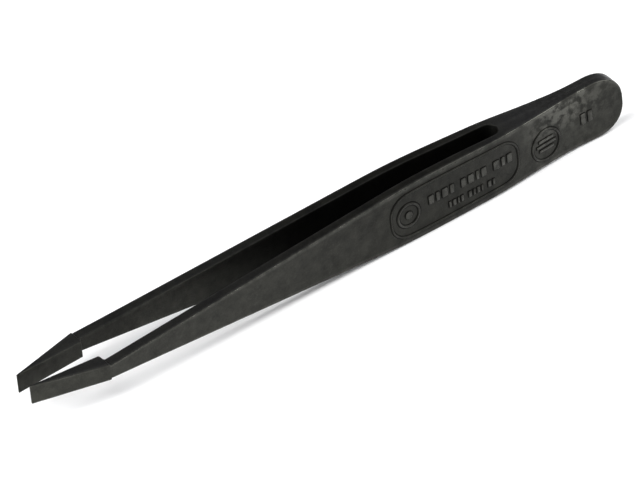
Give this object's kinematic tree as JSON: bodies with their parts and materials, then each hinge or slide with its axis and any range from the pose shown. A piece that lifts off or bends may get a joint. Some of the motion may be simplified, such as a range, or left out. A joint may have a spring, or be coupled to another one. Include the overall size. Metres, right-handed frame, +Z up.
{
  "type": "precision tweezers",
  "caption": "One-piece moulded plastic precision tweezers with flat spade-shaped tips, sprung tapering arms and a flat rounded tail.",
  "frame": {"origin": "centre of the bottom of the bounding box: mid length, on the mid plane between the arms, at the height of the lower long edges", "axes": "+X from the tips to the tail, along the length; Y is the opening direction, with the near arm at -Y and the far arm at +Y; +Z up, along the width of the broad faces"},
  "size_m": [0.115, 0.0112, 0.011],
  "materials": {
    "moulded_plastic": "satin black, fibre-filled"
  },
  "bodies": {
    "root": {"tail_pad": "moulded_plastic", "tail_heel": "moulded_plastic", "near_spring": "moulded_plastic", "far_spring": "moulded_plastic", "near_tail_ring": "moulded_plastic", "near_tail_bars": "moulded_plastic"},
    "near_arm": {"near_grip": "moulded_plastic", "near_shank": "moulded_plastic", "near_tip": "moulded_plastic", "near_frame": "moulded_plastic", "near_emblem_ring": "moulded_plastic", "near_emblem_dot": "moulded_plastic", "near_upper_bars": "moulded_plastic", "near_lower_bars": "moulded_plastic"},
    "far_arm": {"far_grip": "moulded_plastic", "far_shank": "moulded_plastic", "far_tip": "moulded_plastic"}
  },
  "joints": [
    {"name": "near_arm_flex", "type": "hinge", "parent": "root", "child": "near_arm", "pos_m": [0.0255, -0.0024, 0.00552], "axis": [0, 0, -1], "range_deg": [0, 1.15], "stiffness_Nm_per_rad": 1.6, "deforming": ["near_spring"]},
    {"name": "far_arm_flex", "type": "hinge", "parent": "root", "child": "far_arm", "pos_m": [0.0255, 0.0024, 0.00552], "axis": [0, 0, 1], "range_deg": [0, 1.15], "stiffness_Nm_per_rad": 1.6, "deforming": ["far_spring"]}
  ]
}
